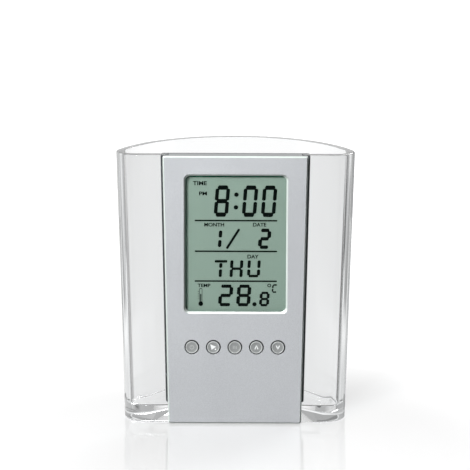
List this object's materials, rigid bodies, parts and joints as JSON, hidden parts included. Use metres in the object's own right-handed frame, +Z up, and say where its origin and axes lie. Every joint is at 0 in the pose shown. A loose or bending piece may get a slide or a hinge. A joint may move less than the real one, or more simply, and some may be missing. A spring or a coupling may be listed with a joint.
{
  "type": "pen holder clock",
  "caption": "Clear D-shaped pen cup with a slim silver digital clock module that slides into its front wall, with a display, round push buttons and a battery door.",
  "frame": {"origin": "on the floor, under the middle of the overall box", "axes": "+Z up, the display faces -Y, +X to the right as seen from the front"},
  "size_m": [0.0912, 0.044, 0.105],
  "materials": {
    "clear_plastic": "polished clear styrene",
    "silver_paint": "fine sprayed silver over ABS",
    "case_grey": "fine spark texture",
    "button_grey": "satin",
    "lens_clear": "polished clear",
    "display_glass": "polished",
    "display_film": "grey-green reflective film",
    "holder_white": "moulded",
    "elastomer_black": "matt",
    "silicone_grey": "matt",
    "board_green": "solder mask",
    "epoxy_black": "potted",
    "crystal_can": "bright",
    "thermistor_bead": "dipped",
    "sounder_brass": "plain",
    "cell_steel": "bright",
    "contact_nickel": "nickel plated",
    "screw_steel": "zinc plated",
    "lead_black": "insulated wire",
    "lead_red": "insulated wire"
  },
  "bodies": {
    "cup": {"pen_cup": "clear_plastic"},
    "clock_module": {"front_panel": "silver_paint", "rear_case": "case_grey", "lcd_lens": "lens_clear", "lcd_front_polariser": "display_film", "lcd_front_glass": "display_glass", "lcd_rear_glass": "display_glass", "lcd_reflector": "display_film", "lcd_holder": "holder_white", "zebra_strip": "elastomer_black", "keypad_mat": "silicone_grey", "circuit_board": "board_green", "chip_blob": "epoxy_black", "clock_crystal": "crystal_can", "thermistor": "thermistor_bead", "piezo_buzzer": "sounder_brass", "cell_left": "cell_steel", "cell_right": "cell_steel", "contact_left": "contact_nickel", "contact_right": "contact_nickel", "battery_lead_left": "lead_black", "battery_lead_right": "lead_red", "board_screw_1": "screw_steel", "board_screw_2": "screw_steel", "board_screw_3": "screw_steel", "board_screw_4": "screw_steel", "case_screw_left": "screw_steel", "case_screw_right": "screw_steel"},
    "door": {"battery_door": "case_grey", "bridge_contact": "contact_nickel"},
    "set_key": {"button_set": "button_grey"},
    "alarm_key": {"button_alarm": "button_grey"},
    "mode_key": {"button_mode": "button_grey"},
    "up_key": {"button_up": "button_grey"},
    "down_key": {"button_down": "button_grey"}
  },
  "joints": [
    {"name": "module_slide", "type": "slide", "parent": "cup", "child": "clock_module", "axis": [0, 0, 1], "range_m": [0, 0.098]},
    {"name": "battery_door_pull", "type": "slide", "parent": "clock_module", "child": "door", "axis": [0, 1, 0], "range_m": [0, 0.012]},
    {"name": "set_press", "type": "slide", "parent": "clock_module", "child": "set_key", "axis": [0, 1, 0], "range_m": [0, 0.0008], "stiffness_N_per_m": 300},
    {"name": "alarm_press", "type": "slide", "parent": "clock_module", "child": "alarm_key", "axis": [0, 1, 0], "range_m": [0, 0.0008], "stiffness_N_per_m": 300},
    {"name": "mode_press", "type": "slide", "parent": "clock_module", "child": "mode_key", "axis": [0, 1, 0], "range_m": [0, 0.0008], "stiffness_N_per_m": 300},
    {"name": "up_press", "type": "slide", "parent": "clock_module", "child": "up_key", "axis": [0, 1, 0], "range_m": [0, 0.0008], "stiffness_N_per_m": 300},
    {"name": "down_press", "type": "slide", "parent": "clock_module", "child": "down_key", "axis": [0, 1, 0], "range_m": [0, 0.0008], "stiffness_N_per_m": 300}
  ]
}
